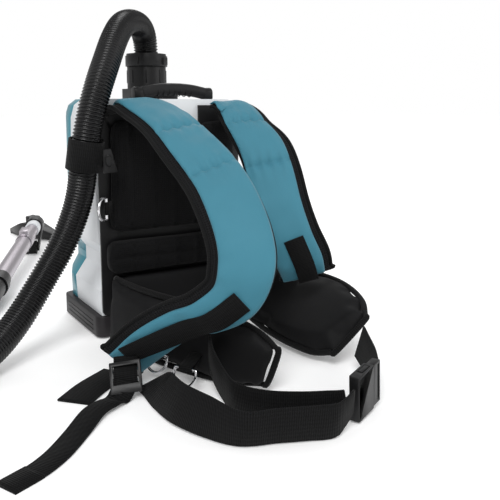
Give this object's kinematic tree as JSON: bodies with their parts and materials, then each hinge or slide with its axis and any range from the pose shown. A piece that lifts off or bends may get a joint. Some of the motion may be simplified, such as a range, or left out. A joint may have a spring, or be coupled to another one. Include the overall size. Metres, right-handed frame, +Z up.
{
  "type": "backpack_vacuum_cleaner",
  "caption": "Cordless backpack vacuum cleaner with padded shoulder and hip harness, ribbed suction hose, telescopic wand and floor nozzle.",
  "frame": {"origin": "on the floor under the middle of the housing", "axes": "+Z up, -Y towards the wearer and the harness, +Y towards the rear cover, +X to the right as the harness side is looked at"},
  "size_m": [0.7958, 1.1991, 0.4292],
  "materials": {
    "white_plastic": "satin",
    "teal_plastic": "satin",
    "dark_plastic": "matte",
    "grey_plastic": "satin",
    "steel": "polished",
    "rubber": "matte",
    "filter_paper": "matte",
    "circuit_board": "matte",
    "soft_grip": "matte",
    "black_mesh": "matte",
    "teal_fabric": "satin",
    "webbing": "matte",
    "hose_plastic": "satin",
    "wand_metal": "satin"
  },
  "bodies": {
    "machine": {"main_housing": "white_plastic", "hinge_pins": "steel", "base_shell": "dark_plastic", "rubber_feet": "rubber", "battery_left": "dark_plastic", "battery_right": "dark_plastic", "terminal_block": "dark_plastic", "motor": "steel", "motor_mount_ring": "rubber", "fan_housing": "dark_plastic", "inner_frame": "white_plastic", "premotor_filter": "filter_paper", "dust_bag": "filter_paper", "control_board": "circuit_board", "housing_screws": "steel", "inlet_collar": "dark_plastic", "inlet_seal": "rubber", "hose_cuff": "dark_plastic", "carry_handle": "soft_grip", "handle_lugs": "dark_plastic", "back_plate": "dark_plastic", "back_pad": "black_mesh", "lumbar_pad": "black_mesh", "lower_pad": "black_mesh", "shoulder_strap_left": "teal_fabric", "shoulder_strap_right": "teal_fabric", "shoulder_webbing_left": "webbing", "shoulder_webbing_right": "webbing", "webbing_tail": "webbing", "ladder_lock": "dark_plastic", "hip_pad_left": "black_mesh", "hip_pad_right": "black_mesh", "belt_upper": "webbing", "belt_front": "webbing", "belt_right": "webbing", "buckle_socket": "dark_plastic", "buckle_prong": "dark_plastic", "ring_loops": "webbing", "hose_band": "webbing", "hose": "hose_plastic", "hose_end_cuff": "dark_plastic", "wand_handle": "dark_plastic", "wand_outer_tube": "wand_metal", "wand_lock_sleeve": "wand_metal"},
    "rear_cover": {"rear_cover": "teal_plastic"},
    "cover_latch": {"cover_latch": "dark_plastic"},
    "battery_cover": {"battery_cover": "teal_plastic"},
    "fan": {"fan_impeller": "white_plastic"},
    "lock_ring": {"hose_lock_ring": "dark_plastic"},
    "buckle_tab_upper": {"buckle_tab_upper": "dark_plastic"},
    "buckle_tab_lower": {"buckle_tab_lower": "dark_plastic"},
    "side_ring": {"side_ring": "steel"},
    "low_ring_rear": {"low_ring_rear": "steel"},
    "low_ring_front": {"low_ring_front": "steel"},
    "sliding_tube": {"wand_inner_tube": "wand_metal", "nozzle_neck": "dark_plastic"},
    "wand_lock_button": {"wand_lock_button": "grey_plastic"},
    "suction_slider": {"suction_slider": "dark_plastic"},
    "nozzle_wheel": {"nozzle_wheel": "rubber"},
    "nozzle_head": {"nozzle_head": "dark_plastic"}
  },
  "joints": [
    {"name": "rear_cover_hinge", "type": "hinge", "parent": "machine", "child": "rear_cover", "pos_m": [0.1105, 0.035, 0.16], "axis": [0, 0, -1], "range_deg": [0, 100]},
    {"name": "cover_latch_slide", "type": "slide", "parent": "rear_cover", "child": "cover_latch", "axis": [1, 0, 0], "range_m": [0, 0.005], "stiffness_N_per_m": 400},
    {"name": "battery_cover_hinge", "type": "hinge", "parent": "machine", "child": "battery_cover", "pos_m": [0.1105, 0.035, 0.056], "axis": [0, 0, -1], "range_deg": [0, 90]},
    {"name": "fan_spin", "type": "hinge", "parent": "machine", "child": "fan", "pos_m": [0, -0.019, 0.205], "axis": [0, 1, 0], "continuous": true},
    {"name": "lock_ring_turn", "type": "hinge", "parent": "machine", "child": "lock_ring", "pos_m": [0.008, 0.028, 0.36], "axis": [0, 0, 1], "range_deg": [0, 30]},
    {"name": "buckle_upper_tab_press", "type": "slide", "parent": "machine", "child": "buckle_tab_upper", "axis": [0.0607, 0.0263, -0.9978], "range_m": [0, 0.003], "stiffness_N_per_m": 400},
    {"name": "buckle_lower_tab_press", "type": "slide", "parent": "machine", "child": "buckle_tab_lower", "axis": [-0.0607, -0.0263, 0.9978], "range_m": [0, 0.003], "stiffness_N_per_m": 400},
    {"name": "side_ring_swing", "type": "hinge", "parent": "machine", "child": "side_ring", "pos_m": [-0.103, -0.096, 0.176], "axis": [0, 0, 1], "range_deg": [-40, 40]},
    {"name": "low_rear_ring_swing", "type": "hinge", "parent": "machine", "child": "low_ring_rear", "pos_m": [-0.092, -0.218, 0.026], "axis": [0.4191, -0.908, 0], "range_deg": [0, 60]},
    {"name": "low_front_ring_swing", "type": "hinge", "parent": "machine", "child": "low_ring_front", "pos_m": [-0.082, -0.266, 0.024], "axis": [0.4789, -0.8779, 0], "range_deg": [0, 60]},
    {"name": "wand_tube_slide", "type": "slide", "parent": "machine", "child": "sliding_tube", "axis": [0.3882, 0.9194, 0.0629], "range_m": [0, 0.12]},
    {"name": "wand_lock_button_press", "type": "slide", "parent": "machine", "child": "wand_lock_button", "axis": [-0.0245, -0.058, 0.998], "range_m": [0, 0.002], "stiffness_N_per_m": 400},
    {"name": "suction_slider_turn", "type": "hinge", "parent": "machine", "child": "suction_slider", "pos_m": [-0.1822, 0.18414, 0.02546], "axis": [-0.3882, -0.9194, -0.0629], "range_deg": [-60, 60]},
    {"name": "nozzle_wheel_spin", "type": "hinge", "parent": "sliding_tube", "child": "nozzle_wheel", "pos_m": [-0.052, 0.497, 0.0135], "axis": [-0.9212, 0.389, 0], "continuous": true},
    {"name": "nozzle_head_swivel", "type": "hinge", "parent": "sliding_tube", "child": "nozzle_head", "pos_m": [-0.002, 0.671, 0.03], "axis": [0, 0, 1], "range_deg": [-60, 60]}
  ]
}
